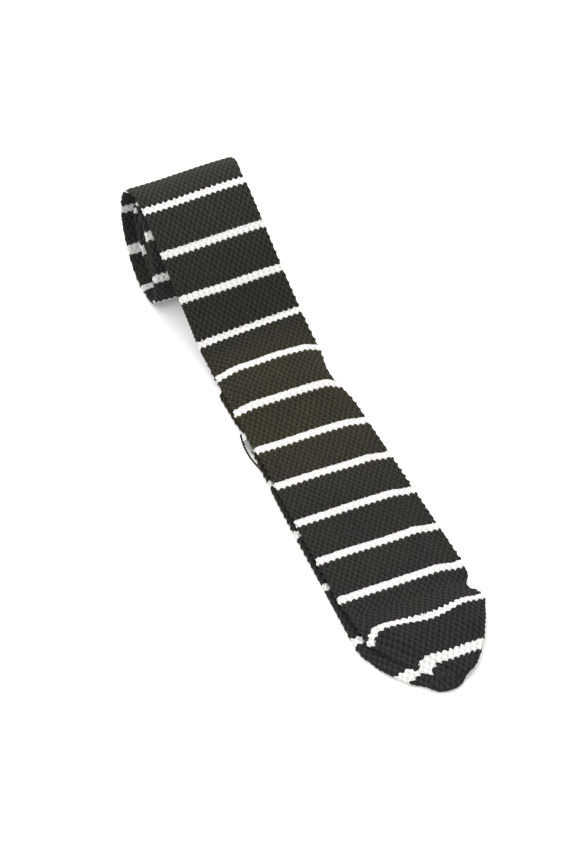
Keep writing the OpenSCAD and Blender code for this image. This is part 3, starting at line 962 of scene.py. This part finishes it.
def neck_stitches():
    """Overcast stitches across the two joins of the neck band, slanting from stitch to stitch."""
    sideways = np.array([1.0, 0, 0])
    grids = []
    for w, mid, side in ((BLADE_END, BLADE_MID, -1), (TAIL_END, TAIL_MID, 1)):
        a = math.radians(float(arc_sweep(np.array(w - RAMP_LEN), TANGENT_R - mid)) - RAMP_DEG)
        r = CREST_R - TURN * math.degrees(a) / 360 - mid + side * (PLY / 2 + 0.16)
        out = np.array([0, math.sin(a), math.cos(a)])
        fwd = np.array([0, math.cos(a), -math.sin(a)])
        centre = np.array([-ROLL_LEAD, 0, AXIS_Z]) + r * out
        for x in np.arange(-17.0, 17.1, 1.7):
            s = np.linspace(-1, 1, 9)[:, None]
            line = centre + sideways * (x + 0.35 * s) + fwd * 0.7 * s - side * out * 0.12 * s ** 4
            grids.append(sweep(slump(line, np.full(len(line), DEEP_W)), 0.13, sides=8, up=out))
    thread_piece("neck_join_thread", grids, "neck_join_stitches", "roll")


neck_stitches()

# ---------------------------------------------------------------- floor, light and camera
floor_mesh = bpy.data.meshes.new("studio_floor")
FLOOR_HALF = 3.0
FLOOR_Z = -0.0002
corners = [(FLOOR_HALF * i, FLOOR_HALF * j, FLOOR_Z) for i, j in ((-1, -1), (1, -1), (1, 1), (-1, 1))]
floor_mesh.from_pydata(corners, [], [(0, 1, 2, 3)])
floor = bpy.data.objects.new("studio_floor", floor_mesh)
bpy.context.scene.collection.objects.link(floor)
studio = Nodes("studio_white")
grain = studio.noise(3.0, 2.0)
pale = studio.ramp(grain, "Fac", [(0.0, (0.82, 0.825, 0.825)), (1.0, (0.84, 0.845, 0.845))])
studio.link(pale, "Color", studio.bsdf, "Base Color")
studio.bsdf.inputs["Roughness"].default_value = 0.9
studio.bsdf.inputs["Specular IOR Level"].default_value = 0.0
studio.bsdf.inputs["Emission Color"].default_value = (1, 1, 1, 1)
studio.bsdf.inputs["Emission Strength"].default_value = 0.16
floor_mesh.materials.append(studio.mat)

world = bpy.data.worlds.new("studio_air")
bpy.context.scene.world = world
world.use_nodes = True
air = world.node_tree.nodes["Background"]
air.inputs["Color"].default_value = (1, 1, 1, 1)
air.inputs["Strength"].default_value = 1.0

# The lamps are placed round this point, and aimed at it
middle = Vector((0.0, (FOOT_Y - 50) * MM, 0.0))


def lamp(name, power, size, place):
    """A square softbox."""
    data = bpy.data.lights.new(name, "AREA")
    data.energy = power
    data.size = size
    ob = bpy.data.objects.new(name, data)
    ob.location = middle + Vector(place)
    ob.rotation_mode = "QUATERNION"
    ob.rotation_quaternion = (middle - ob.location).to_track_quat("-Z", "Y")
    bpy.context.scene.collection.objects.link(ob)


lamp("top_softbox", 16.0, 1.5, (0.15, 0.55, 1.2))
lamp("left_softbox", 4.0, 1.2, (-0.8, -0.1, 1.1))

# The camera stands in front and to the left, looking down at the tie. Angles are in radians.
SENSOR = 36.0
FOCAL_LENGTH = 108.3333333
ELEVATION = 0.801186
AZIMUTH = -0.407838
DISTANCE = 1160.847
TARGET = (-6.699, -123.165, 0.0)
cam_data = bpy.data.cameras.new("camera")
cam_data.sensor_width = SENSOR
cam_data.lens = FOCAL_LENGTH
cam_data.clip_start, cam_data.clip_end = 0.05, 20.0
camera = bpy.data.objects.new("camera", cam_data)
level = math.cos(ELEVATION)
back_dir = Vector((math.sin(AZIMUTH) * level, -math.cos(AZIMUTH) * level, math.sin(ELEVATION)))
camera.location = Vector(TARGET) * MM + back_dir * DISTANCE * MM
camera.rotation_mode = "QUATERNION"
camera.rotation_quaternion = (-back_dir).to_track_quat("-Z", "Y")
bpy.context.scene.collection.objects.link(camera)
bpy.context.scene.camera = camera
bpy.context.scene.view_settings.view_transform = "Standard"

bpy.context.view_layer.update()
